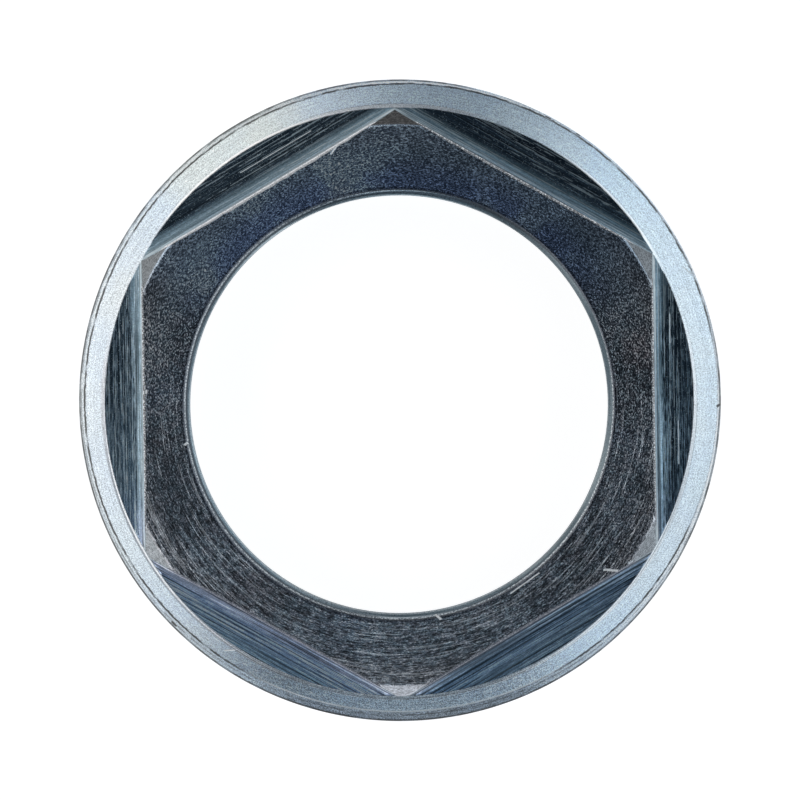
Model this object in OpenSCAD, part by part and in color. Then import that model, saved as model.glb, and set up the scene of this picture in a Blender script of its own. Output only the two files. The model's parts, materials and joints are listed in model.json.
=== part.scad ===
// Hex lock nut on a round flange, turned from bar and milled to a hexagon.
// Z runs up the thread's axis from the bearing face, and two of the flats face along X.

/* [Thread] */
// Nominal diameter of the thread
thread_d = 42; // [38:0.5:44]
// Pitch of the thread
thread_pitch = 1; // [0.5:0.25:1.5]
// How much wider than the thread the countersink at each end is, on the radius
entry_gap = 0.05; // [0:0.05:0.5]
// Angle between a countersink's wall and the thread's axis
entry_angle = 45; // [30:5:60]

/* [Hexagon] */
// Width across the flats
hex_af = 50; // [46:0.5:52]
// Height of the hexagon above the flange
hex_h = 8.25; // [5:0.25:20]
// How far the chamfer reaches in from each sharp corner
corner_chamfer = 1.55; // [0.5:0.05:2.5]
// Slope of the corner chamfer
corner_angle = 30; // [15:1:45]
// How much of each sharp corner the turned boss leaves off
corner_trim = 0.1; // [0.05:0.05:0.5]
// Radius of the fillet between each flat and the flange
root_r = 1; // [0.5:0.1:2.5]
// Width of the break along each edge of the hex end
edge_break = 0.25; // [0.1:0.05:0.5]

/* [Flange] */
// Diameter of the flange
flange_d = 63; // [61:0.5:68]
// Height of the milled shoulder round the hexagon
flange_h = 3.75; // [3:0.25:8]
// Slope of the flange's top
cone_angle = 20; // [5:1:30]
// How deep the flats are milled into the inner edge of that slope
mill_depth = 0.05; // [0.02:0.01:0.2]
// Width of the bevel round the top of the rim
rim_bevel = 0.5; // [0.2:0.05:0.8]
// Width of the bevel round the bearing face
base_bevel = 0.5; // [0.2:0.05:0.8]

/* [Hidden] */
$fn = 180;
flats = 6;
// How far a cut runs past the metal that it clears
over = 1;
total_h = flange_h + hex_h;
// The hole before tapping, as a tap drill leaves it
bore_r = (thread_d - thread_pitch) / 2;
entry_r = thread_d / 2 + entry_gap;
entry_depth = (entry_r - bore_r) / tan(entry_angle);
// The hexagon's sharp corners, and the round boss that it is milled from
corner_r = hex_af / 2 / cos(180 / flats);
boss_r = corner_r - corner_trim;
face_r = corner_r - corner_chamfer;
chamfer_z = total_h - (boss_r - face_r) * tan(corner_angle);
// The flange's slope, from the foot of the boss out to the rim
flange_r = flange_d / 2;
slope_z = flange_h + mill_depth;
bevel_z = slope_z - (flange_r - rim_bevel - boss_r) * tan(cone_angle);

// Half section of the turned blank, from the bearing face round the rim to the hex end
module blank_section() {
    polygon([
        [bore_r, entry_depth],
        [entry_r, 0],
        [flange_r - base_bevel, 0],
        [flange_r, base_bevel],
        [flange_r, bevel_z - rim_bevel],
        [flange_r - rim_bevel, bevel_z],
        [boss_r, slope_z],
        [boss_r, chamfer_z],
        [face_r, total_h],
        [entry_r, total_h],
        [bore_r, total_h - entry_depth]
    ]);
}

// Section of one milling cut, with its inner corner rounded to leave the root fillet
module cut_section() {
    break_section();
    difference() {
        translate([hex_af / 2, flange_h])
            square([flange_r - hex_af / 2 + over, hex_h + over]);
        difference() {
            translate([hex_af / 2 - over, flange_h - over])
                square(root_r + over);
            translate([hex_af / 2 + root_r, flange_h + root_r])
                circle(root_r);
        }
    }
}

// Section of the break along a flat's edge, at 45 degrees and run on past the hex end
module break_section() {
    polygon([
        [hex_af / 2, total_h - edge_break],
        [hex_af / 2 + over, total_h + over],
        [hex_af / 2 - edge_break - over, total_h + over]
    ]);
}

// One cut, run straight across the blank to make the flat that faces +X
module flat_cut() {
    rotate([90, 0, 0])
        linear_extrude(height = flange_d, center = true)
            cut_section();
}

module lock_nut() {
    color([0.62, 0.66, 0.70])
        difference() {
            rotate_extrude() blank_section();
            for (flat = [0 : flats - 1])
                rotate(flat * 360 / flats) flat_cut();
        }
}

lock_nut();
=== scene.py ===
"""Looks of a zinc-plated hex lock nut: one closed mesh with a real thread and five machined finishes.

The shapes are worked out in millimetres, and a mesh is scaled to metres when it is made.
"""
import json
import math

import bmesh
import bpy
import numpy as np
from mathutils import Matrix, Vector


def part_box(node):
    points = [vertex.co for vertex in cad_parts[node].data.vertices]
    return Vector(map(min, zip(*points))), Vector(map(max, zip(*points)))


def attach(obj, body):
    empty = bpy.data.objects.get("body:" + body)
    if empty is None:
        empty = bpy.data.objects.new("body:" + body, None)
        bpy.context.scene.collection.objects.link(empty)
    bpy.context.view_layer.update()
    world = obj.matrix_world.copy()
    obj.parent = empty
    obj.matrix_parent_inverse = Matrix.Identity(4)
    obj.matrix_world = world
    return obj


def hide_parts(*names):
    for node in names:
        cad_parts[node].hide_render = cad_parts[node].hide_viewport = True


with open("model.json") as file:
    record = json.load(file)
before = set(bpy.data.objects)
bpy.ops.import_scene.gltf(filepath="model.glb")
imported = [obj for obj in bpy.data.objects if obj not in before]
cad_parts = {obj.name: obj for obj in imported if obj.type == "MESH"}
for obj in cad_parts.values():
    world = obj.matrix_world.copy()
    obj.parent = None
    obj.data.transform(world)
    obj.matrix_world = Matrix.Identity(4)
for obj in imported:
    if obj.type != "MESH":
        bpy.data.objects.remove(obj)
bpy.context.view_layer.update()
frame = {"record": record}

MM = 0.001
NODE = "lock_nut"
FINISHES = ("face", "milled", "flange", "base", "thread")

# Sizes that the frame gives
low, high = (np.array(corner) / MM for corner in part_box(NODE))
total_h = high[2]
flange_r = (high[0] - low[0]) / 2
bore_r = next(m for m in frame["record"]["mounts"] if m["name"] == "thread")["dims"]["r_mm"]

# Thread and countersinks
pitch = 1.0
root_r = bore_r + pitch / 2
entry_clearance = 0.05
entry_r = root_r + entry_clearance
crest_flat = 0.298 * pitch
root_flat = 0.125 * pitch

# Hexagon, with a chamfer that reaches in from its corners
flats = 6
half_af = 25.0
shoulder_z = 3.75
fillet_r = 1.0
fillet_z = shoulder_z + fillet_r
corner_r = half_af / math.cos(math.pi / flats)
corner_cut = 0.1
boss_r = corner_r - corner_cut
chamfer_reach = 1.55
face_r = corner_r - chamfer_reach
chamfer_slope = math.tan(math.radians(30))

# How far inside the hexagon's edge the face's last row lies, and where that starts to shrink at the corners
inset_least = 0.3
inset_most = 1.3
inset_start = 0.6

# Flange
cone_slope = math.tan(math.radians(20))
mill_depth = 0.05
rim_bevel = 0.5
bevel_slope = math.tan(math.radians(41))
base_bevel = 0.5
slope_z = shoulder_z + mill_depth
bevel_z = slope_z - (flange_r - rim_bevel - boss_r) * cone_slope
crest_r = boss_r + mill_depth / cone_slope

# How far the turned boss, flange and bevel run out of true with the hexagon, along X and Y
boss_runout = (0.02, 0.26)
flange_runout = (0.10, 0.39)
bevel_runout = (0.21, 0.635)
bevel_oval = (0.115, 0.072)
mean_bevel = 0.56
brow_r = flange_r - mean_bevel

# Broken edges: of every edge, of the milled shoulder at the flange's slope, and of the face at its chamfers
sharp = 0.06
crest_round = 0.05
arc_round = 0.16

# Wear of the hexagon's end: mean, unevenness, the share left at the corners, and the side that is worn most
worn = 0.21
worn_uneven = 0.10
worn_corner = 0.15
worn_azimuth = 120
worn_side = math.radians(worn_azimuth)
worn_more = 1.3

# Spacing of the lines that the cutter's feed leaves on the flats
feed_pitch = 0.37

# Scratches and dents on the side that the photo shows: both ends along X and Y, and half the width
scars = (
    ((19.9, -16.38), (21.1, -16.50), 0.16),
    ((3.35, -20.60), (3.75, -20.95), 0.16),
    ((10.68, -18.55), (13.45, -16.63), 0.08),
    ((-20.95, -3.60), (-20.75, -3.45), 0.16),
    ((-6.27, 24.62), (-5.50, 25.66), 0.08),
    ((28.06, 13.11), (28.83, 12.42), 0.06),
    ((-24.68, 1.50), (-24.64, 1.72), 0.14),
    ((-17.40, -23.90), (-16.50, -23.86), 0.10),
    ((-8.28, 26.95), (-15.21, 22.95), 0.055),
    ((27.38, -6.20), (27.38, -2.00), 0.06),
    ((26.68, 5.70), (26.68, 8.50), 0.06),
)

# Dark chips at the edge of the flange, in the same form
chips = (
    ((31.26, -0.60), (31.52, -0.44), 0.20),
    ((-22.55, -21.06), (-22.20, -21.42), 0.16),
    ((17.78, 26.35), (18.10, 26.12), 0.09),
    ((14.80, 28.05), (15.25, 27.82), 0.10),
)

# Colours of the zinc's stains
steel_blue = (0.40, 0.46, 0.52, 1)
sky_blue = (0.38, 0.50, 0.64, 1)
navy_blue = (0.31, 0.43, 0.74, 1)
warm_grey = (0.56, 0.52, 0.52, 1)
wall_grey = (0.36, 0.44, 0.49, 1)
brown = (0.26, 0.23, 0.20, 1)

# Colours of bare metal: dents, hair lines on the face, long scratches and the worn edge; and painted
# highlights along the walls' feet, the flange's inner edge and the bevel's brow
bare_dent = (0.86, 0.87, 0.88, 1)
bare_hair = (0.72, 0.76, 0.80, 1)
bare_wire = (0.66, 0.76, 0.80, 1)
painted_wall_highlight = (0.88, 0.95, 0.97, 1)
bare_edge = (0.95, 0.96, 0.98, 1)
painted_crest_highlight = (0.95, 0.96, 0.97, 1)
painted_brow_highlight = (0.90, 0.93, 0.94, 1)

# Colours of what is dark: painted shade on the edge in front, a painted shadow round the lip of the hole,
# its grooves, and turning lines, chips and the painted shade line along the rim
shaded_front_edge = (0.16, 0.17, 0.22, 1)
painted_lip_shadow = (0.06, 0.07, 0.10, 1)
dark_groove = (0.10, 0.11, 0.13, 1)
dark_entry = (0.12, 0.13, 0.15, 1)
dark_line = (0.08, 0.078, 0.075, 1)

# Columns of the mesh round the axis, how far they crowd towards the corners, and rows over a fillet
columns = 480
crowding = 0.12
fillet_rows = 8

# Points of the mesh that lie closer than this, in metres, are one, and a sharper edge than this stays sharp
weld = 1e-7
crease = math.radians(32)


def column_angles():
    """Angles over a full turn, closer together at the hexagon's corners."""
    u = np.linspace(-1, 2 * flats - 1, columns + 1)
    return math.pi / flats * (u + crowding * np.sin(math.pi * u))


theta = column_angles()
phi = np.mod(theta + math.pi / flats, 2 * math.pi / flats) - math.pi / flats


def circle(radius, runout=(0.0, 0.0)):
    """Distance from the axis, at each column, of a circle whose centre lies off the axis."""
    return radius + runout[0] * np.cos(theta) + runout[1] * np.sin(theta)


def uneven(share):
    """A factor close to 1 that wanders from column to column, the same on every run."""
    waves = ((37, 0.4), (53, 2.1), (71, 4.0), (97, 1.3), (131, 5.2))
    return 1 + share * sum(np.sin(count * theta + start) for count, start in waves) / 2


def level(z):
    """A height that is the same at each column."""
    return np.full_like(theta, z)


def blend(before, corner, after, size, steps=3):
    """Rows that round a corner of the section, with one more row each side to keep its flanks flat."""
    most_of_flank = 0.4
    one_more = 1.2
    shortest = 1e-6
    before, corner, after = (np.array(p) for p in (before, corner, after))

    def towards(end, share):
        run = end - corner
        length = np.maximum(np.hypot(*run), shortest)
        return corner + run / length * np.minimum(size, most_of_flank * length) * share

    start, stop = towards(before, 1), towards(after, 1)
    rows = [towards(before, one_more)]
    for t in np.linspace(0, 1, steps + 1):
        rows.append((1 - t) ** 2 * start + 2 * t * (1 - t) * corner + t ** 2 * stop)
    return rows + [towards(after, one_more)]


def top_z(r):
    """Height of the turned hex end, which falls away to the corners."""
    return total_h - np.maximum(r - face_r, 0) * chamfer_slope


def edge_wear():
    """Size of the rounding along the hexagon's end: uneven, least at the corners, most on the worn side."""
    corner_share = (phi * flats / math.pi) ** 4
    wear = worn * uneven(worn_uneven) * (1 - (1 - worn_corner) * corner_share)
    on_worn_side = np.cos(theta - worn_side) > math.cos(math.pi / flats)
    return wear * np.where(on_worn_side, worn_more, 1.0)


def boss_rows(boss):
    """Rows and their finish from the hole's edge, over the hex end and down the flats and their fillets."""
    wall = np.minimum(half_af / np.cos(phi), boss)
    inset = np.clip(face_r + inset_start - wall, inset_least, inset_most)
    inner = np.minimum(face_r, wall - inset)
    lip = (circle(entry_r + sharp), level(total_h))
    arc = (inner, top_z(inner))
    edge = (wall, top_z(wall))
    foot = (wall, level(fillet_z))
    rows = [(lip, "face"), ((lip[0] + sharp / 3, lip[1]), "face")]
    rows += [(row, "face") for row in blend(lip, arc, edge, arc_round)]
    rows += [(row, "milled") for row in blend(arc, edge, foot, edge_wear())]
    for turn in np.linspace(0, math.pi / 2, fillet_rows):
        reach = (half_af + fillet_r * (1 - math.cos(turn))) / np.cos(phi)
        z = shoulder_z + fillet_r * (1 - math.sin(turn))
        r = np.minimum(reach, boss)
        rows.append(((r, np.where(reach > boss, np.maximum(z, slope_z), z)), "milled"))
    return rows


def outer_rows():
    """All rows outside the hole, from its edge at the hex end to its edge at the bearing face."""
    rows = boss_rows(circle(boss_r, boss_runout))
    toe = rows[-1][0]
    crest = (circle(crest_r, boss_runout), level(shoulder_z))
    oval = bevel_oval[0] * np.cos(2 * theta) + bevel_oval[1] * np.sin(2 * theta)
    brow = (circle(brow_r, bevel_runout) + oval, level(bevel_z))
    rim = circle(flange_r, flange_runout)
    rim_top = (rim, bevel_z - (rim - brow[0]) * bevel_slope)
    rim_low = (rim, level(base_bevel))
    base = (circle(flange_r - base_bevel, flange_runout), level(0.0))
    mouth = (circle(entry_r + sharp), level(0.0))
    rows += [(row, "flange") for row in blend(toe, crest, brow, crest_round)]
    rows += [(row, "flange") for row in blend(crest, brow, rim_top, sharp)]
    rows += [(row, "flange") for row in blend(brow, rim_top, rim_low, sharp)]
    rows += [(row, "flange") for row in blend(rim_top, rim_low, base, sharp)]
    rows += [(row, "base") for row in blend(rim_low, base, mouth, sharp)]
    rows += [((mouth[0] + sharp / 3, mouth[1]), "base"), (mouth, "thread")]
    return rows


def thread_rows():
    """Rows up the bore that follow the helix, cut off by the countersink at each end."""
    flank = (pitch - crest_flat - root_flat) / 2
    stations = [
        (0.0, bore_r),
        (crest_flat / 2, bore_r),
        (crest_flat, bore_r),
        (crest_flat + flank / 2, (bore_r + root_r) / 2),
        (crest_flat + flank, root_r),
        (crest_flat + flank + root_flat, root_r),
        (pitch - flank / 2, (bore_r + root_r) / 2),
    ]
    rows = []
    for lap in range(-2, math.ceil(total_h / pitch) + 2):
        for rise, r in stations:
            z = (lap + theta / (2 * math.pi)) * pitch + rise
            z = np.clip(z, sharp, total_h - sharp)
            countersink = entry_r - np.minimum(z, total_h - z)
            rows.append(((np.maximum(r, countersink), z), "thread"))
    return rows


def nut_mesh():
    """The whole nut as one closed mesh, with a material slot for each finish."""
    rows = outer_rows() + thread_rows()
    rows.append(rows[0])
    r = np.array([row[0][0] for row in rows])
    z = np.array([row[0][1] for row in rows])
    points = np.stack([r * np.cos(theta), r * np.sin(theta), z], -1).reshape(-1, 3) * MM
    width = columns + 1
    faces = []
    slots = []
    for i in range(len(rows) - 1):
        for a in range(i * width, i * width + columns):
            faces.append((a, a + width, a + width + 1, a + 1))
            slots.append(FINISHES.index(rows[i][1]))
    mesh = bpy.data.meshes.new(NODE)
    mesh.from_pydata(points.tolist(), [], faces)
    mesh.polygons.foreach_set("material_index", slots)
    shape = bmesh.new()
    shape.from_mesh(mesh)
    bmesh.ops.remove_doubles(shape, verts=shape.verts, dist=weld)
    bmesh.ops.dissolve_degenerate(shape, edges=shape.edges, dist=weld)
    bmesh.ops.recalc_face_normals(shape, faces=shape.faces)
    shape.to_mesh(mesh)
    shape.free()
    mesh.shade_smooth()
    mesh.set_sharp_from_angle(angle=crease)
    return mesh


class Nodes:
    """Short ways to add the nodes of one material. Each input is a value to set or a socket to link."""

    def __init__(self, tree):
        self.tree = tree
        tree.nodes.clear()

    def add(self, kind, inputs=None, **settings):
        made = self.tree.nodes.new("ShaderNode" + kind)
        for name, value in settings.items():
            setattr(made, name, value)
        for name, value in (inputs or {}).items():
            if isinstance(value, bpy.types.NodeSocket):
                self.tree.links.new(value, made.inputs[name])
            else:
                made.inputs[name].default_value = value
        return made

    def math(self, operation, a, b=0.0, c=0.0):
        return self.add("Math", {0: a, 1: b, 2: c}, operation=operation).outputs[0]

    def product(self, first, *others):
        for other in others:
            first = self.math("MULTIPLY", first, other)
        return first

    def most(self, first, *others):
        for other in others:
            first = self.math("MAXIMUM", first, other)
        return first

    def vector(self, operation, a, b=(0.0, 0.0, 0.0), output="Vector"):
        return self.add("VectorMath", {0: a, 1: b}, operation=operation).outputs[output]

    def times(self, vector, factor):
        return self.add("VectorMath", {0: vector, "Scale": factor}, operation="SCALE").outputs["Vector"]

    def combine(self, x, y, z):
        return self.add("CombineXYZ", {0: x, 1: y, 2: z}).outputs[0]

    def split(self, vector):
        return self.add("SeparateXYZ", {0: vector}).outputs

    def noise(self, vector, scale=1.0, detail=2.0, roughness=0.5):
        inputs = {"Vector": vector, "Scale": scale, "Detail": detail, "Roughness": roughness}
        return self.add("TexNoise", inputs).outputs["Fac"]

    def span(self, value, start, stop, low=0.0, high=1.0, smooth=True):
        """value from start to stop as low to high, held outside them."""
        kind = "SMOOTHSTEP" if smooth else "LINEAR"
        inputs = {"Value": value, "From Min": start, "From Max": stop, "To Min": low, "To Max": high}
        return self.add("MapRange", inputs, interpolation_type=kind).outputs["Result"]

    def shift(self, share, low, high):
        """low where share is 0, and high where it is 1."""
        return self.span(share, 0.0, 1.0, low, high)

    def line(self, value, centre, half_width, core):
        """1 where value is within core of centre, falling to 0 at half_width."""
        return self.span(self.math("ABSOLUTE", self.math("SUBTRACT", value, centre)), half_width, core)

    def ramp(self, value, *stops):
        made = self.add("ValToRGB", {"Fac": value})
        points = made.color_ramp.elements
        while len(points) < len(stops):
            points.new(1.0)
        for point, (place, colour) in zip(points, stops):
            point.position = place
            point.color = (*colour, 1)
        return made.outputs["Color"]

    def mix(self, factor, a, b):
        return self.add("Mix", {0: factor, 6: a, 7: b}, data_type="RGBA").outputs[2]

    def choose(self, factor, a, b):
        """The same as mix, for plain values."""
        return self.add("Mix", {0: factor, 2: a, 3: b}).outputs[0]

    def tint(self, factor, colour, shares):
        """colour, multiplied by shares of red, green and blue where factor is 1."""
        return self.mix(factor, colour, self.vector("MULTIPLY", colour, shares))

    def metal(self, colour, roughness, height, depth, scar=None):
        """A metal whose bump is height times depth in millimetres, with bare dents where scar is 1."""
        if scar:
            colour = self.mix(scar, colour, bare_dent)
            roughness = self.math("MULTIPLY_ADD", scar, 0.3, roughness)
            height = self.math("SUBTRACT", height, scar)
        bump = self.add("Bump", {"Strength": 1.0, "Distance": depth * MM, "Height": height})
        inputs = {
            "Base Color": colour,
            "Metallic": 1.0,
            "Roughness": roughness,
            "Normal": bump.outputs["Normal"],
        }
        shader = self.add("BsdfPrincipled", inputs)
        self.add("OutputMaterial", {"Surface": shader.outputs["BSDF"]})


class Place:
    """Where a point of the nut lies, in millimetres, for its grain to follow how it was cut."""

    def __init__(self, nodes):
        self.nodes = nodes
        coordinates = nodes.add("TexCoord").outputs
        self.point = nodes.times(coordinates["Object"], 1 / MM)
        self.x, self.y, self.z = nodes.split(self.point)
        self.flat = nodes.vector("MULTIPLY", self.point, (1.0, 1.0, 0.0))
        self.radius = nodes.vector("LENGTH", self.flat, output="Value")
        self.outward = nodes.vector("NORMALIZE", self.flat)
        self.normal_z = nodes.split(coordinates["Normal"])["Z"]

    def towards(self, azimuth):
        """1 where the point lies in that direction from the axis, in degrees, and less beside it."""
        turn = math.radians(azimuth)
        direction = (math.cos(turn), math.sin(turn), 0.0)
        return self.nodes.vector("DOT_PRODUCT", self.outward, direction, output="Value")

    def reach(self, runout):
        """Distance from an axis that is off centre."""
        return self.nodes.vector("DISTANCE", self.flat, (*runout, 0.0), output="Value")

    def turned(self, along, across):
        """Coordinates that stretch a noise into rings: features per millimetre round and across them."""
        nodes = self.nodes
        round_it = nodes.times(self.outward, half_af * along)
        depth = nodes.product(nodes.math("SUBTRACT", self.radius, self.z), across)
        return nodes.vector("ADD", round_it, nodes.combine(0.0, 0.0, depth))

    def marked(self, marks):
        """1 on a scratch, dent or chip, falling to 0 beside it and on upright walls."""
        nodes = self.nodes
        found = 0.0
        for start, end, half_width in marks:
            run = (end[0] - start[0], end[1] - start[1], 0.0)
            square = run[0] ** 2 + run[1] ** 2
            offset = nodes.vector("SUBTRACT", self.flat, (*start, 0.0))
            share = nodes.vector("DOT_PRODUCT", offset, run, output="Value")
            foot = nodes.times(run, nodes.span(share, 0.0, square, smooth=False))
            gap = nodes.vector("DISTANCE", offset, foot, output="Value")
            found = nodes.most(nodes.span(gap, half_width, half_width / 3), found)
        return nodes.product(found, nodes.span(self.normal_z, 0.1, 0.3))


class FlatPlace(Place):
    """Where a point lies by the nearest flat, and masks for the parts of the flats and their shoulders."""

    def __init__(self, nodes):
        super().__init__(nodes)
        sector = 2 * math.pi / flats
        turn = nodes.math("ARCTAN2", self.y, self.x)
        index = nodes.math("ROUND", nodes.math("DIVIDE", turn, sector))
        self.index = nodes.math("FLOORED_MODULO", index, flats)
        back = nodes.product(self.index, -sector)
        own = nodes.add("VectorRotate", {"Vector": self.point, "Angle": back}, rotation_type="Z_AXIS")
        parts = nodes.split(own.outputs[0])
        self.out = parts["X"]
        self.along = parts["Y"]
        self.beyond = nodes.math("SUBTRACT", self.out, half_af)
        self.below = nodes.span(self.z, fillet_z + 0.3, fillet_z - 0.1)
        self.front = nodes.product(nodes.span(self.y, -6.0, -16.0), self.below)
        self.at_back = nodes.span(self.y, 4.0, 10.0)
        self.at_side = nodes.math("LESS_THAN", nodes.math("FLOORED_MODULO", self.index, flats / 2), 0.5)
        self.worn_most = nodes.span(self.towards(worn_azimuth), 0.84, 0.88)
        self.fillet = nodes.span(self.beyond, fillet_r + 0.1, fillet_r - 0.4)
        self.near_wall = nodes.span(self.beyond, 0.5, 0.1)

    def milled(self, along, across):
        """Coordinates that stretch a noise into streaks: features per millimetre along and across them."""
        nodes = self.nodes
        depth = nodes.product(nodes.math("MULTIPLY_ADD", self.z, -0.35, self.out), across)
        run = nodes.product(self.along, along)
        return nodes.combine(run, depth, nodes.product(self.index, 7.3))


def face_zinc(nodes, place):
    """Colour of the hex end: navy round the hole at the back, warmer in front and towards its edge, with
    painted light and shade by direction round the axis.
    """
    cloud = nodes.noise(place.point, 0.09)
    patch = nodes.noise(place.point, 0.20)
    tone = nodes.noise(place.point, 1.6)
    back = nodes.span(place.y, 6.0, 17.0)
    colour = nodes.ramp(
        cloud,
        (0.34, (0.35, 0.45, 0.58)),
        (0.48, (0.42, 0.48, 0.54)),
        (0.60, (0.40, 0.47, 0.53)),
        (0.70, (0.48, 0.47, 0.50)),
    )
    colour = nodes.mix(nodes.span(place.y, 0.0, -10.0, 0.0, 0.6), colour, steel_blue)
    colour = nodes.mix(nodes.product(back, 0.7), colour, sky_blue)
    near_hole = nodes.span(place.radius, 25.0, 21.8, 0.0, 0.75)
    navy = nodes.product(near_hole, back, nodes.span(patch, 0.40, 0.56, 0.1, 1.0))
    colour = nodes.mix(navy, colour, navy_blue)
    warm = nodes.span(tone, 0.40, 0.60, 0.0, nodes.span(place.y, 16.0, 4.0))
    colour = nodes.tint(warm, colour, (1.10, 1.0, 0.99))
    near_edge = nodes.product(nodes.span(place.radius, 24.4, 26.5), nodes.shift(back, 0.5, 0.15))
    colour = nodes.mix(near_edge, colour, warm_grey)
    colour = nodes.times(colour, nodes.span(patch, 0.35, 0.65, 1.25, 0.80))
    # Painted light and shade by direction: lighter towards 120 degrees, darker towards 30, 210 and 300
    # degrees
    for azimuth, shade in ((30, 0.80), (120, 1.40), (210, 0.76), (300, 0.78)):
        colour = nodes.times(colour, nodes.span(place.towards(azimuth), 0.80, 0.98, 1.0, shade))
    return colour


def face_grains(nodes, place, grain):
    """How far grains and painted glints lighten the hex end, the glints most in front, and in front the
    marks that the tool has drawn.
    """
    drawn = nodes.noise(place.turned(1.0, 7.5), roughness=0.6)
    calm = nodes.span(place.y, 4.0, 16.0)
    front = nodes.span(place.y, 4.0, -14.0)
    # Painted glints: the grains' bright specks reach highest in front
    ground = nodes.shift(calm, nodes.shift(front, 0.62, 0.78), 0.88)
    peak = nodes.shift(calm, nodes.shift(front, 3.1, 2.0), 1.6)
    marks = nodes.span(drawn, 0.36, 0.64, 0.10, 1.80)
    marks = nodes.choose(nodes.product(front, 0.8), 1.0, marks)
    return nodes.product(nodes.span(grain, 0.51, 0.75, ground, peak), marks)


def chamfer_zinc(nodes, place, drag):
    """Colour of the chamfer at the hexagon's corners: painted light in front and painted shade towards the
    back, brown at the very back.
    """
    colour = nodes.ramp(drag, (0.35, (0.45, 0.48, 0.51)), (0.65, (0.58, 0.62, 0.66)))
    # Painted light and shade: the chamfers lighter in front, darker at the back
    colour = nodes.times(colour, nodes.span(place.y, -20.0, 18.0, 1.20, 0.70))
    colour = nodes.mix(nodes.span(place.y, 25.0, 26.5, 0.0, 0.6), colour, brown)
    return nodes.tint(nodes.span(place.y, -25.0, -26.5), colour, (1.18, 1.0, 0.93))


def face_finish(nodes):
    """The turned hex end: fine grains round the hole, partly painted glints, with turning lines towards the
    front.
    """
    place = Place(nodes)
    grain = nodes.noise(place.turned(4.5, 10.5), detail=1.0, roughness=0.6)
    speck = nodes.noise(place.point, 9.0, 1.0, 0.6)
    drag = nodes.noise(place.turned(3.0, 0.3))
    hair = nodes.noise(place.turned(0.05, 10.0), detail=1.0, roughness=0.6)
    gaps = nodes.noise(place.turned(0.16, 2.4), detail=1.0)
    front = nodes.span(place.y, 10.0, -8.0, 0.1, 1.0)
    hair = nodes.product(nodes.span(hair, 0.57, 0.66), nodes.span(gaps, 0.44, 0.58), front)
    # Painted shadow: a dark ring on the hex end round the hole's edge
    lip = nodes.span(place.radius, entry_r + 0.36, entry_r + 0.18, 0.0, 0.6)
    chamfer = nodes.span(place.z, total_h - 0.02, total_h - 0.10)
    colour = nodes.times(face_zinc(nodes, place), face_grains(nodes, place, grain))
    colour = nodes.mix(nodes.product(hair, 0.36), colour, bare_hair)
    colour = nodes.mix(lip, colour, painted_lip_shadow)
    colour = nodes.mix(chamfer, colour, chamfer_zinc(nodes, place, drag))
    roughness = nodes.most(nodes.span(grain, 0.36, 0.70, 0.18, 0.36), nodes.product(hair, 0.38))
    height = nodes.math("MULTIPLY_ADD", hair, 0.4, nodes.math("MULTIPLY_ADD", speck, 0.5, grain))
    height = nodes.choose(chamfer, height, nodes.product(drag, 0.25))
    nodes.metal(colour, roughness, height, depth=0.020, scar=place.marked(scars))


def cutter_streaks(nodes, place, dash, long):
    """Straight streaks that the cutter left, strongest on the two flats at the sides and calm in front."""
    streak = nodes.math("MULTIPLY_ADD", dash, 0.4, nodes.product(long, 0.6))
    gain = nodes.shift(place.at_side, nodes.span(place.y, -4.0, 6.0, 0.60, 0.34), 0.80)
    middle = nodes.span(place.y, 6.0, 14.0, 0.515, 0.500)
    streak = nodes.math("MULTIPLY_ADD", nodes.math("SUBTRACT", streak, 0.5), gain, middle)
    return nodes.math("MINIMUM", streak, nodes.span(place.y, -4.0, -12.0, 0.70, 0.565))


def bright_wires(nodes, place, dash):
    """Long thin scratches along the flats, and specks on their shoulders, faint in front."""
    wire = nodes.span(nodes.noise(place.milled(0.04, 8.0), detail=0.0), 0.60, 0.68)
    wire = nodes.product(wire, nodes.span(dash, 0.36, 0.50), nodes.span(place.y, 8.0, 18.0, 0.9, 0.78))
    dust = nodes.span(nodes.noise(place.point, 7.5, 0.0), 0.69, 0.76)
    dust = nodes.product(dust, nodes.span(place.beyond, 0.6, 1.4, 0.0, 0.72))
    return nodes.product(nodes.most(wire, dust), nodes.span(place.y, -10.0, -4.0, 0.2, 1.0))


def feed_lines(nodes, place, band, dash):
    """Evenly spaced lines along the flats, made a little wavy by band and dash."""
    phase = nodes.math("MULTIPLY_ADD", place.out, 2 * math.pi / feed_pitch, nodes.product(band, 6.0))
    phase = nodes.math("MULTIPLY_ADD", dash, 1.2, phase)
    return nodes.span(nodes.math("SINE", phase), -0.8, 0.2)


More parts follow.
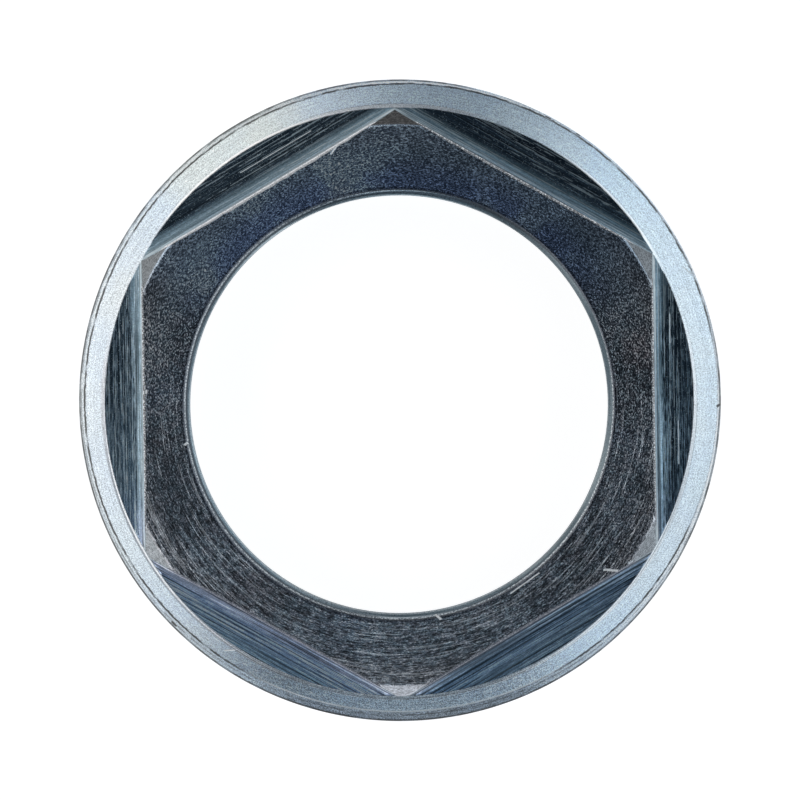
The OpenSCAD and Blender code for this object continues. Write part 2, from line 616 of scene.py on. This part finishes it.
def milled_zinc(nodes, place, streak, long, feed):
    """Colour of the flats, blue-green and lined in front, cooler elsewhere, with painted light that makes
    the front and the left paler.
    """
    colour = nodes.ramp(
        streak,
        (0.42, (0.18, 0.26, 0.30)),
        (0.52, (0.28, 0.38, 0.44)),
        (0.60, (0.54, 0.66, 0.72)),
        (0.66, (0.76, 0.88, 0.92)),
    )
    # Painted light: the shoulders in front much lighter
    colour = nodes.tint(place.front, colour, (1.62, 1.62, 1.80))
    groove = nodes.shift(place.front, 0.85, nodes.span(long, 0.42, 0.58, 0.22, 0.80))
    colour = nodes.times(colour, nodes.shift(feed, groove, 1.10))
    # Painted light and shade: in front, lighter on the left and darker on the right
    colour = nodes.times(colour, nodes.shift(place.front, 1.0, nodes.span(place.x, 0.0, 12.0, 1.15, 0.80)))
    purple = nodes.mix(nodes.span(place.x, -4.0, 6.0), (1.12, 1.02, 1.10, 1), (0.98, 1.0, 1.04, 1))
    purple = nodes.mix(nodes.span(place.beyond, 1.2, 3.2), purple, (0.92, 0.94, 0.92, 1))
    colour = nodes.tint(place.front, colour, purple)
    cool = nodes.mix(nodes.span(place.x, -8.0, 10.0), (1.03, 1.05, 1.09, 1), (0.95, 1.04, 1.13, 1))
    colour = nodes.tint(nodes.math("SUBTRACT", place.below, place.front), colour, cool)
    # Painted light: the flats on the left lighter
    left = nodes.product(nodes.span(place.x, -10.0, -24.0), place.below)
    colour = nodes.times(colour, nodes.shift(left, 1.0, 1.12))
    return nodes.tint(place.near_wall, colour, (1.12, 1.0, 0.94))


def painted_fillet_shade(nodes, place):
    """Painted light and shade on the fillets, at the back and in a painted highlight by the wall, and the
    cutter's ribs along them.
    """
    dip = nodes.span(place.beyond, 0.3, 1.0, 1.10, nodes.span(place.x, -6.0, 6.0, 0.98, 0.60))
    rise = nodes.span(place.beyond, 1.0, 1.7, 1.0, nodes.span(place.x, -6.0, 6.0, 0.97, 1.36))
    slope = nodes.product(dip, rise, nodes.span(place.x, -3.0, -12.0, 1.0, 1.25))
    wall = nodes.span(nodes.math("ABSOLUTE", place.x), 14.0, 22.0, 0.25, 0.65)
    wall = nodes.product(wall, nodes.span(nodes.math("ABSOLUTE", place.along), 14.0, 10.5))
    wall = nodes.math("MULTIPLY_ADD", place.near_wall, wall, nodes.shift(place.fillet, 1.0, 0.65))
    ribbed = nodes.product(place.fillet, nodes.shift(place.at_back, 1.0, 0.45))
    ribs = nodes.noise(place.milled(0.05, 5.5), detail=1.0)
    ribs = nodes.span(ribs, 0.40, 0.60, nodes.shift(ribbed, 1.0, 0.45), nodes.shift(ribbed, 1.0, 1.35))
    ribs = nodes.choose(place.below, 1.0, ribs)
    return nodes.product(nodes.shift(place.at_back, 1.0, slope), wall, ribs)


def worn_zinc(nodes, place, speck):
    """Colour of the worn edge at the hex end: dotted bare metal, whitest on one side, with painted shade in
    front.
    """
    colour = nodes.ramp(
        speck,
        (0.38, (0.18, 0.18, 0.19)),
        (0.50, (0.37, 0.38, 0.40)),
        (0.64, (0.95, 0.97, 0.99)),
    )
    whitest = nodes.product(place.worn_most, nodes.span(speck, 0.36, 0.52, 0.5, 0.95))
    colour = nodes.mix(whitest, colour, bare_edge)
    # Painted shade: the worn edge darker in front
    return nodes.mix(nodes.span(place.y, -6.0, -16.0, 0.0, 0.6), colour, shaded_front_edge)


def milled_finish(nodes):
    """The flats, their root fillets and shoulders: straight cutter streaks, worn at the top edge."""
    place = FlatPlace(nodes)
    band = nodes.noise(place.milled(0.06, 2.2), detail=1.0)
    dash = nodes.noise(place.milled(0.8, 10.0), detail=1.0, roughness=0.6)
    long = nodes.noise(place.milled(0.10, 10.0), detail=1.0, roughness=0.6)
    speck = nodes.noise(place.point, 7.0, 1.0)
    streak = cutter_streaks(nodes, place, dash, long)
    wire = bright_wires(nodes, place, dash)
    colour = milled_zinc(nodes, place, streak, long, feed_lines(nodes, place, band, dash))
    colour = nodes.times(colour, nodes.span(band, 0.35, 0.65, 0.8, 1.2))
    colour = nodes.times(colour, nodes.span(speck, 0.35, 0.65, 0.82, 1.18))
    colour = nodes.mix(wire, colour, bare_wire)
    # Painted light and shade over the fillets
    colour = nodes.times(colour, painted_fillet_shade(nodes, place))
    colour = nodes.mix(nodes.shift(place.below, 0.65, 0.0), colour, wall_grey)
    # Painted highlight: a bright line along the foot of the wall, on the flats at the sides and on the worn
    # side
    wall_highlight = nodes.product(nodes.span(place.beyond, 0.32, 0.10), place.below, 0.7)
    wall_highlight = nodes.product(wall_highlight, nodes.most(place.at_side, place.worn_most))
    colour = nodes.mix(wall_highlight, colour, painted_wall_highlight)
    edge = nodes.span(place.z, total_h - 0.30, total_h - 0.20)
    colour = nodes.mix(edge, colour, worn_zinc(nodes, place, speck))
    back_foot = nodes.product(place.at_back, nodes.span(place.beyond, 2.1, 0.8, 0.0, 0.46))
    side_foot = nodes.product(place.at_side, nodes.span(place.beyond, 2.3, 0.8, 0.0, 0.47))
    side_foot = nodes.product(side_foot, nodes.span(streak, 0.46, 0.58, 0.3, 1.0))
    roughness = nodes.most(
        nodes.span(streak, 0.46, 0.64, 0.18, 0.40),
        nodes.product(place.fillet, 0.40),
        back_foot,
        side_foot,
        nodes.product(wire, place.below, 0.50),
        nodes.product(edge, 0.45),
    )
    height = nodes.math("MULTIPLY_ADD", edge, speck, streak)
    nodes.metal(colour, roughness, height, depth=0.014, scar=place.marked(scars))


def flange_zinc(nodes, place, ahead, frost, rings):
    """Colour of the flange, a frosty pale zinc: bluer at the front and back, yellow at the back left."""
    cloud = nodes.noise(place.point, 0.12)
    colour = nodes.ramp(
        cloud,
        (0.35, (0.64, 0.71, 0.76)),
        (0.50, (0.64, 0.71, 0.78)),
        (0.65, (0.67, 0.72, 0.75)),
    )
    colour = nodes.times(colour, nodes.span(frost, 0.30, 0.70, 0.62, 1.32))
    colour = nodes.times(colour, nodes.span(rings, 0.40, 0.62, 0.94, 1.08))
    ends = nodes.span(nodes.math("ABSOLUTE", ahead), 0.40, 0.90)
    colour = nodes.tint(ends, colour, (0.97, 1.04, 1.13))
    return nodes.tint(nodes.span(place.towards(122), 0.95, 0.99), colour, (1.10, 1.02, 0.88))


def crest_marks(nodes, place, across, ahead, colour, frost, rings):
    """Adds the flange's inner edge to its colour: worked, but clean with painted highlight lines at the
    back.
    """
    crest = nodes.math("SUBTRACT", place.reach(boss_runout), crest_r)
    worked = nodes.ramp(
        rings,
        (0.42, (0.12, 0.13, 0.15)),
        (0.48, (0.62, 0.63, 0.65)),
        (0.56, (0.92, 0.91, 0.92)),
    )
    worked = nodes.times(worked, nodes.span(frost, 0.34, 0.62, 0.78, 1.10))
    clean = nodes.span(nodes.math("ABSOLUTE", across), 0.15, 0.40)
    clean = nodes.product(clean, nodes.span(ahead, 0.05, 0.35))
    band = nodes.product(nodes.span(crest, 0.42, 0.28), nodes.shift(clean, 0.65, 0.10))
    colour = nodes.mix(band, colour, worked)
    # Painted highlight: bright arcs along the inner edge at the back left and back right
    left_arc = nodes.product(nodes.span(across, 0.0, -0.2), nodes.span(ahead, 0.58, 0.70))
    right_arc = nodes.product(nodes.span(across, 0.50, 0.65), nodes.span(ahead, 0.42, 0.55))
    line = nodes.product(nodes.span(crest, 0.24, 0.12), clean, nodes.most(left_arc, right_arc))
    return nodes.mix(line, colour, painted_crest_highlight)


def past_brow(nodes, place, across, ahead):
    """How far out a point lies from the bevel's inner edge, which is a little oval and off centre."""
    brow = nodes.math("SUBTRACT", place.reach(bevel_runout), brow_r)
    square = nodes.math("SUBTRACT", nodes.product(across, across), nodes.product(ahead, ahead))
    brow = nodes.math("MULTIPLY_ADD", square, -bevel_oval[0], brow)
    return nodes.math("MULTIPLY_ADD", nodes.product(across, ahead), -2 * bevel_oval[1], brow)


def dark_lines(nodes, place, front, brow):
    """Dark lines, broken by gaps: turning lines along the bevel's inner edge and just past it, and a
    painted shade line along the rim.
    """
    gaps = nodes.noise(place.turned(0.8, 1.5))
    ragged = nodes.noise(place.turned(2.4, 1.0), roughness=0.6)
    ragged = nodes.math("MULTIPLY_ADD", nodes.math("SUBTRACT", ragged, 0.5), 0.20, brow)
    narrow = place.towards(-5)
    brow_line = nodes.product(
        nodes.line(ragged, 0.0, 0.12, 0.06),
        nodes.span(gaps, 0.34, 0.50, 0.25, 0.95),
        nodes.span(narrow, 0.93, 0.985, 1.0, 0.0),
        nodes.shift(front, 1.0, 0.15),
    )
    next_line = nodes.product(nodes.line(brow, 0.32, 0.09, 0.03), nodes.span(gaps, 0.62, 0.46, 0.0, 0.6))
    # Painted shade: a dark line along the rim's outer edge, weaker towards 45 degrees
    rim = nodes.math("SUBTRACT", flange_r, place.reach(flange_runout))
    rim = nodes.math("SUBTRACT", rim, nodes.span(narrow, 0.93, 0.985, 0.0, 0.03))
    rim_shade_line = nodes.product(
        nodes.span(rim, 0.21, 0.13),
        nodes.span(gaps, 0.64, 0.42, 0.65, 0.95),
        nodes.span(place.towards(45), 0.80, 0.93, 1.0, 0.25),
    )
    return nodes.most(brow_line, next_line, rim_shade_line)


def flange_finish(nodes):
    """The flange's slope, bevel and rim: a frosty pale zinc with dark turning lines on the bevel, and
    painted light, shade and highlight on the bevel.
    """
    place = Place(nodes)
    direction = nodes.split(place.outward)
    across = direction["X"]
    ahead = direction["Y"]
    front = nodes.span(ahead, -0.78, -0.95)
    frost = nodes.noise(place.point, 9.5, 1.0, 0.6)
    lines = nodes.noise(place.turned(0.04, 8.0), detail=1.0)
    rings = nodes.noise(place.turned(0.03, 9.0), detail=1.0, roughness=0.6)
    dashes = nodes.noise(place.turned(1.2, 9.0), detail=1.0)
    colour = flange_zinc(nodes, place, ahead, frost, rings)
    colour = crest_marks(nodes, place, across, ahead, colour, frost, rings)
    colour = nodes.times(colour, nodes.span(dashes, 0.38, 0.62, nodes.shift(front, 0.96, 0.72), 1.08))
    dark_grain = nodes.shift(front, 1.0, 0.76)
    pale_grain = nodes.shift(front, 1.0, 1.25)
    colour = nodes.times(colour, nodes.span(frost, 0.36, 0.64, dark_grain, pale_grain))
    brow = past_brow(nodes, place, across, ahead)
    bevel = nodes.product(nodes.span(brow, 0.0, 0.06), nodes.span(place.normal_z, 0.15, 0.45))
    # Painted light and shade on the bevel: lighter towards the back and right, darker in front and towards
    # 45 degrees
    pale = nodes.math("MULTIPLY_ADD", across, 0.18, nodes.math("MULTIPLY_ADD", ahead, 0.28, 1.32))
    pale = nodes.shift(nodes.span(ahead, -0.84, -0.97), pale, 0.66)
    pale = nodes.product(pale, nodes.span(place.towards(45), 0.86, 0.96, 1.0, 0.74))
    colour = nodes.times(colour, nodes.shift(bevel, 1.0, pale))
    # Painted highlight: a bright line along the bevel's inner edge, in front
    brow_highlight = nodes.product(nodes.line(brow, -0.05, 0.10, 0.04), nodes.shift(front, 0.0, 0.8))
    colour = nodes.mix(brow_highlight, colour, painted_brow_highlight)
    bevel_lines = nodes.product(bevel, nodes.span(lines, 0.54, 0.66, 0.0, 0.3))
    dark = nodes.most(dark_lines(nodes, place, front, brow), bevel_lines)
    dark = nodes.product(dark, nodes.span(place.normal_z, 0.05, 0.25))
    dark = nodes.most(dark, place.marked(chips))
    colour = nodes.mix(nodes.product(dark, 0.95), colour, dark_line)
    roughness = nodes.most(nodes.span(frost, 0.3, 0.7, 0.28, 0.36), nodes.product(brow_highlight, 0.7))
    height = nodes.math("MULTIPLY_ADD", lines, 0.6, frost)
    nodes.metal(colour, roughness, height, depth=0.012, scar=place.marked(scars))


def base_finish(nodes):
    """The bearing face: plain rings from facing, never seen in the photo."""
    place = Place(nodes)
    lines = nodes.noise(place.turned(0.05, 4.0), detail=3.0, roughness=0.6)
    speck = nodes.noise(place.point, 4.0)
    colour = nodes.ramp(lines, (0.35, (0.50, 0.56, 0.62)), (0.65, (0.60, 0.66, 0.72)))
    roughness = nodes.span(speck, 0.3, 0.7, 0.30, 0.42)
    nodes.metal(colour, roughness, nodes.math("ADD", lines, speck), depth=0.010)


def thread_finish(nodes):
    """The thread with the drag marks of the tap, and its countersinks, dotted bright at the hex end, with
    painted shade towards +X.
    """
    place = Place(nodes)
    lines = nodes.noise(place.turned(0.06, 4.5), detail=1.0)
    speck = nodes.noise(place.point, 7.0, 1.0)
    colour = nodes.ramp(lines, (0.40, (0.22, 0.29, 0.34)), (0.60, (0.48, 0.58, 0.64)))
    # Painted shade: the bore darker towards +X
    colour = nodes.times(colour, nodes.span(place.x, 2.0, 16.0, 1.0, 0.55))
    depth = nodes.math("SUBTRACT", total_h, place.z)
    groove = nodes.product(nodes.line(depth, 0.30, 0.10, 0.05), 0.75)
    colour = nodes.mix(groove, colour, dark_groove)
    shine = nodes.ramp(speck, (0.42, (0.26, 0.29, 0.33)), (0.58, (0.92, 0.97, 1.0)))
    colour = nodes.mix(nodes.span(depth, 0.24, 0.18), colour, shine)
    colour = nodes.mix(nodes.span(depth, 0.09, 0.05), colour, dark_entry)
    roughness = nodes.span(speck, 0.3, 0.7, 0.26, 0.38)
    scar = nodes.product(place.marked(scars), nodes.span(depth, 0.7, 0.5))
    nodes.metal(colour, roughness, nodes.math("ADD", lines, speck), depth=0.012, scar=scar)


def new_material(name):
    """A material with an empty tree, and the short ways to fill it."""
    material = bpy.data.materials.new(name)
    material.use_nodes = True
    return material, Nodes(material.node_tree)


def make_nut():
    """The nut with its five finishes, in the order of its material slots."""
    nut = bpy.data.objects.new("nut", nut_mesh())
    bpy.context.scene.collection.objects.link(nut)
    makers = (face_finish, milled_finish, flange_finish, base_finish, thread_finish)
    for finish, maker in zip(FINISHES, makers):
        material, nodes = new_material("zinc_" + finish)
        maker(nodes)
        nut.data.materials.append(material)
    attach(nut, "root")
    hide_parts(NODE)


def make_floor():
    """A white floor that keeps a soft shadow, where what is seen of it is mostly its own white."""
    half = 6.0
    drop = -0.0001
    corners = [(-half, -half, drop), (half, -half, drop), (half, half, drop), (-half, half, drop)]
    mesh = bpy.data.meshes.new("floor")
    mesh.from_pydata(corners, [], [(0, 1, 2, 3)])
    floor = bpy.data.objects.new("floor", mesh)
    bpy.context.scene.collection.objects.link(floor)
    material, nodes = new_material("floor")
    path = nodes.add("LightPath").outputs
    seen = nodes.most(path["Is Camera Ray"], path["Is Glossy Ray"], path["Is Transmission Ray"])
    lit = nodes.add("BsdfDiffuse", {"Color": (0.85, 0.85, 0.85, 1)})
    shaded = nodes.add("BsdfDiffuse", {"Color": (0.30, 0.30, 0.30, 1)})
    glow = nodes.add("Emission", {"Color": (1, 1, 1, 1), "Strength": 0.90})
    pale = nodes.add("AddShader", {0: shaded.outputs[0], 1: glow.outputs[0]})
    either = nodes.add("MixShader", {0: seen, 1: lit.outputs[0], 2: pale.outputs[0]})
    nodes.add("OutputMaterial", {"Surface": either.outputs[0]})
    mesh.materials.append(material)


def softbox(name, azimuth, zenith, distance, size, power, colour):
    """A rectangular lamp that faces the nut, placed by its direction in degrees and its distance."""
    lamp = bpy.data.lights.new(name, "AREA")
    lamp.shape = "RECTANGLE"
    lamp.size, lamp.size_y = size
    lamp.energy = power
    lamp.color = colour
    holder = bpy.data.objects.new(name, lamp)
    bpy.context.scene.collection.objects.link(holder)
    turn = Matrix.Rotation(math.radians(azimuth), 4, "Z") @ Matrix.Rotation(math.radians(zenith), 4, "Y")
    holder.matrix_world = turn @ Matrix.Translation((0, 0, distance))
    holder.visible_camera = False


def make_lights():
    """Softboxes in a ring round the nut, dim in front and behind, and two small lamps in front."""
    ring_zenith = 41
    ring_distance = 1.0
    ring_height = 0.42
    ring = (
        ("left_back", 136, 0.83, 1.58, (1.0, 0.99, 0.97)),
        ("left_front", 200, 0.83, 1.68, (0.98, 0.99, 1.0)),
        ("right_back", 28, 0.67, 1.50, (0.86, 0.95, 1.0)),
        ("right_front", 325, 0.86, 1.50, (0.87, 0.95, 1.0)),
        ("back", 80, 0.58, 0.16, (0.80, 0.92, 1.0)),
        ("front", 270, 0.90, 0.06, (0.62, 0.82, 1.0)),
    )
    for name, azimuth, width, power, colour in ring:
        softbox(name, azimuth, ring_zenith, ring_distance, (ring_height, width), power, colour)
    softbox("front_low", 268, 62, 1.0, (0.16, 0.50), 0.30, (0.74, 0.88, 1.0))
    softbox("near_front", 252, 22, 0.15, (0.08, 0.14), 0.007, (0.70, 0.86, 1.0))


def make_room():
    """A room with pale walls at the sides that is dark overhead."""
    world = bpy.data.worlds.new("studio")
    bpy.context.scene.world = world
    world.use_nodes = True
    nodes = Nodes(world.node_tree)
    x, y, z = nodes.split(nodes.add("TexCoord").outputs["Generated"])
    ends = nodes.mix(nodes.span(y, -1.0, 1.0), (0.12, 0.15, 0.18, 1), (0.40, 0.41, 0.43, 1))
    sides = nodes.mix(nodes.span(x, -1.0, 1.0), (1.22, 1.22, 1.20, 1), (0.84, 0.88, 0.92, 1))
    wall = nodes.mix(nodes.span(nodes.product(x, x), 0.05, 0.65), ends, sides)
    room = nodes.mix(nodes.span(z, 0.0, 0.75), wall, (0.010, 0.015, 0.023, 1))
    background = nodes.add("Background", {"Color": room, "Strength": 1.0})
    nodes.add("OutputWorld", {"Surface": background.outputs[0]})


def make_camera():
    """Looks straight down from far away, almost square to the hex end."""
    view_w = 78.15 * MM
    distance = 2.0
    sensor = 36.0
    lean_x, lean_y, roll = (math.radians(angle) for angle in (0.1, 0.3, 0.8))
    target = Vector((0.12, 0.47, total_h)) * MM
    camera = bpy.data.cameras.new("camera")
    camera.sensor_width = sensor
    camera.lens = sensor * distance / view_w
    holder = bpy.data.objects.new("camera", camera)
    bpy.context.scene.collection.objects.link(holder)
    offset = Vector((math.tan(lean_x), math.tan(lean_y), 1.0)) * distance
    back = offset.normalized()
    up = Vector((math.sin(roll), math.cos(roll), 0))
    right = up.cross(back).normalized()
    up = back.cross(right)
    turn = Matrix((right, up, back)).transposed().to_4x4()
    holder.matrix_world = Matrix.Translation(target + offset) @ turn
    bpy.context.scene.camera = holder


make_nut()
make_floor()
make_lights()
make_room()
make_camera()
bpy.context.scene.view_settings.view_transform = "Standard"
